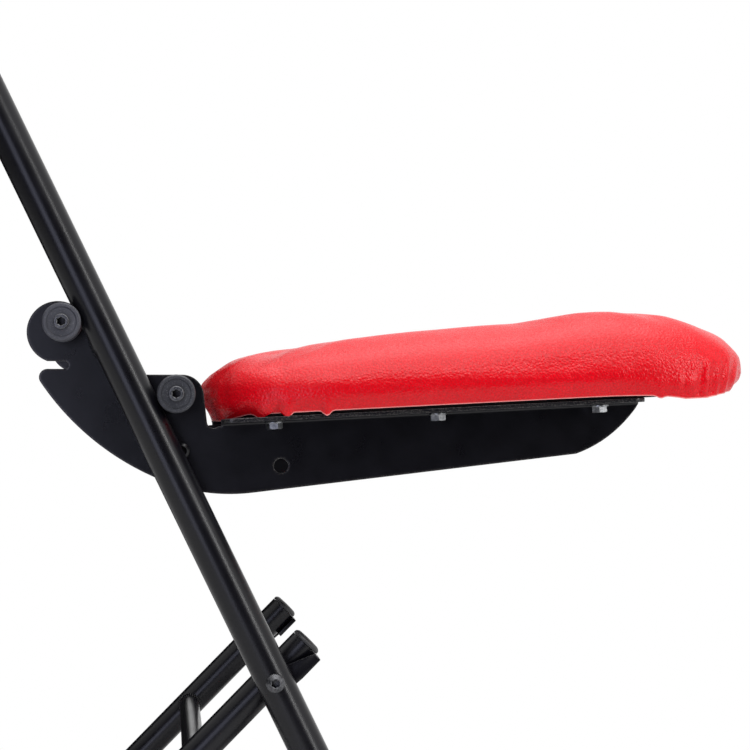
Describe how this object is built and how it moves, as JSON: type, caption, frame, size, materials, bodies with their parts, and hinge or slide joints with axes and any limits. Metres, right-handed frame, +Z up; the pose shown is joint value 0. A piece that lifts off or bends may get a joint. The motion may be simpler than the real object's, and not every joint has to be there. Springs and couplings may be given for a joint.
{
  "type": "folding chair",
  "caption": "Folding choir chair: padded seat on steel side plates whose grooved discs grip a leaning tube frame, with hinged rear legs and a padded backrest.",
  "frame": {"origin": "on the floor, under the middle of the chair's outer box", "axes": "+X the way the sitter faces, +Y the sitter's left, +Z up"},
  "size_m": [0.654, 0.404, 0.9035],
  "materials": {
    "black_paint": "near-black satin powder coat",
    "foot_rubber": "black moulded rubber",
    "plug_plastic": "black moulded plastic",
    "disc_plastic": "dark grey turned plastic",
    "bush_nylon": "pale nylon",
    "screw_black": "black oxide steel",
    "zinc_steel": "bright zinc-plated steel",
    "black_board": "plywood painted matt black",
    "red_leather": "soft red imitation leather over foam, satin"
  },
  "bodies": {
    "frame": {"upright_tube": "black_paint", "front_crossbar": "black_paint", "front_foot_left": "foot_rubber", "front_foot_right": "foot_rubber", "back_rail_lower": "black_paint", "back_rail_upper": "black_paint", "back_screw_lower_left": "screw_black", "back_screw_lower_right": "screw_black", "back_screw_upper_left": "screw_black", "back_screw_upper_right": "screw_black", "backrest_board": "black_board", "backrest_pad": "red_leather", "leg_bracket_left": "black_paint", "leg_bracket_right": "black_paint", "leg_pivot_bolt_left": "screw_black", "leg_pivot_bolt_right": "screw_black", "leg_pivot_nut_left": "zinc_steel", "leg_pivot_nut_right": "zinc_steel", "leg_pivot_spacer_left": "bush_nylon", "leg_pivot_spacer_right": "bush_nylon"},
    "rear_legs": {"rear_leg_left": "black_paint", "rear_leg_right": "black_paint", "rear_leg_plug_left": "plug_plastic", "rear_leg_plug_right": "plug_plastic", "rear_foot_left": "foot_rubber", "rear_foot_right": "foot_rubber", "rear_rung_upper": "black_paint", "rear_rung_lower": "black_paint"},
    "rear_axle": {"rear_axle_bar": "black_paint", "rear_disc_left": "disc_plastic", "rear_disc_right": "disc_plastic", "rear_disc_screw_left": "screw_black", "rear_disc_screw_right": "screw_black", "rear_bush_left": "bush_nylon", "rear_bush_right": "bush_nylon"},
    "seat": {"side_plate_left": "black_paint", "side_plate_right": "black_paint", "front_axle_bar": "black_paint", "front_disc_left": "disc_plastic", "front_disc_right": "disc_plastic", "front_disc_screw_left": "screw_black", "front_disc_screw_right": "screw_black", "lower_tie_bar": "black_paint", "tie_screw_left": "screw_black", "tie_screw_right": "screw_black", "seat_board": "black_board", "seat_pad": "red_leather", "seat_bolt_1_left": "zinc_steel", "seat_bolt_1_right": "zinc_steel", "seat_bolt_2_left": "zinc_steel", "seat_bolt_2_right": "zinc_steel", "seat_bolt_3_left": "zinc_steel", "seat_bolt_3_right": "zinc_steel", "seat_insert_1_left": "zinc_steel", "seat_insert_1_right": "zinc_steel", "seat_insert_2_left": "zinc_steel", "seat_insert_2_right": "zinc_steel", "seat_insert_3_left": "zinc_steel", "seat_insert_3_right": "zinc_steel"}
  },
  "joints": [
    {"name": "seat_height", "type": "slide", "parent": "frame", "child": "rear_axle", "axis": [-0.4384, 0, 0.8988], "range_m": [-0.06, 0.06]},
    {"name": "seat_fold", "type": "hinge", "parent": "rear_axle", "child": "seat", "pos_m": [-0.15272, 0, 0.50677], "axis": [0, -1, 0], "range_deg": [0, 102]},
    {"name": "rear_leg_fold", "type": "hinge", "parent": "frame", "child": "rear_legs", "pos_m": [-0.00769, 0, 0.262], "axis": [0, -1, 0], "range_deg": [0, 61]}
  ]
}
